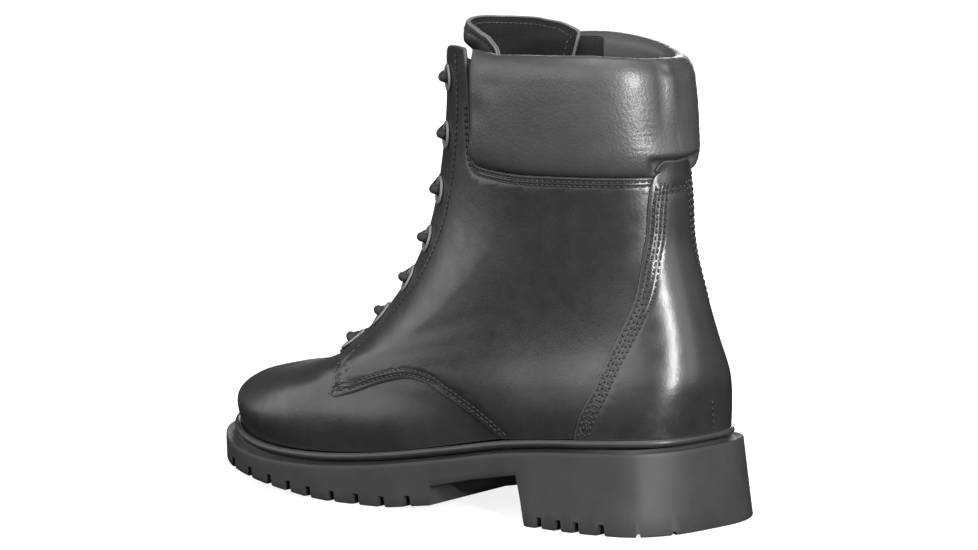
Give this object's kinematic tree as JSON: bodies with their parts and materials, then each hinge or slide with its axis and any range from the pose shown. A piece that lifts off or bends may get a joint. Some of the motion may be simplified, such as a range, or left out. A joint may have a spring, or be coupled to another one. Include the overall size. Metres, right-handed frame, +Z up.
{
  "type": "lace-up fire boot",
  "caption": "Ankle-high lace-up leather boot for the left foot, with a padded collar, loose tongue, metal eyelets and a lugged rubber sole with a raised heel.",
  "frame": {"origin": "middle of the boot's bounding box, on the ground under the tread", "axes": "+X from the toe to the heel, +Y from the outer to the inner side of the foot, +Z up"},
  "size_m": [0.3003, 0.1036, 0.2182],
  "materials": {
    "leather": "smooth waxed black leather",
    "soft_leather": "soft grained black leather",
    "lining": "matt black textile lining",
    "rubber": "matt black moulded rubber",
    "foam": "soft foam",
    "board": "pressed fibre board",
    "cork": "cork filler",
    "steel": "sprung steel",
    "stiffener": "moulded stiffener board",
    "eyelet_metal": "dull nickel-plated metal",
    "lace": "round black braid",
    "aglet": "clear-coated black tip"
  },
  "bodies": {
    "boot": {"outsole": "rubber", "welt": "rubber", "cork_filler": "cork", "shank": "steel", "insole_board": "board", "footbed": "foam", "vamp": "leather", "vamp_lining": "lining", "toe_puff": "stiffener", "quarter_lateral": "leather", "quarter_medial": "leather", "facing_lateral": "soft_leather", "facing_medial": "soft_leather", "quarter_lining_lateral": "lining", "quarter_lining_medial": "lining", "rear_panel": "leather", "heel_counter": "stiffener", "collar": "soft_leather", "collar_foam": "foam", "collar_lining": "lining", "tongue_base": "soft_leather", "eyelet_lateral_1": "eyelet_metal", "eyelet_lateral_2": "eyelet_metal", "eyelet_lateral_3": "eyelet_metal", "eyelet_lateral_4": "eyelet_metal", "eyelet_lateral_5": "eyelet_metal", "eyelet_lateral_6": "eyelet_metal", "eyelet_lateral_7": "eyelet_metal", "eyelet_medial_1": "eyelet_metal", "eyelet_medial_2": "eyelet_metal", "eyelet_medial_3": "eyelet_metal", "eyelet_medial_4": "eyelet_metal", "eyelet_medial_5": "eyelet_metal", "eyelet_medial_6": "eyelet_metal", "eyelet_medial_7": "eyelet_metal", "lace": "lace", "aglet_lateral": "aglet", "aglet_medial": "aglet"},
    "tongue_flap": {"tongue": "soft_leather", "tongue_foam": "foam", "tongue_lining": "lining"}
  },
  "joints": [
    {"name": "tongue_swing", "type": "hinge", "parent": "boot", "child": "tongue_flap", "pos_m": [-0.0747, 0, 0.0553], "axis": [0, 1, 0], "range_deg": [0, 15], "stiffness_Nm_per_rad": 0.12, "springref_deg": -28.65}
  ]
}
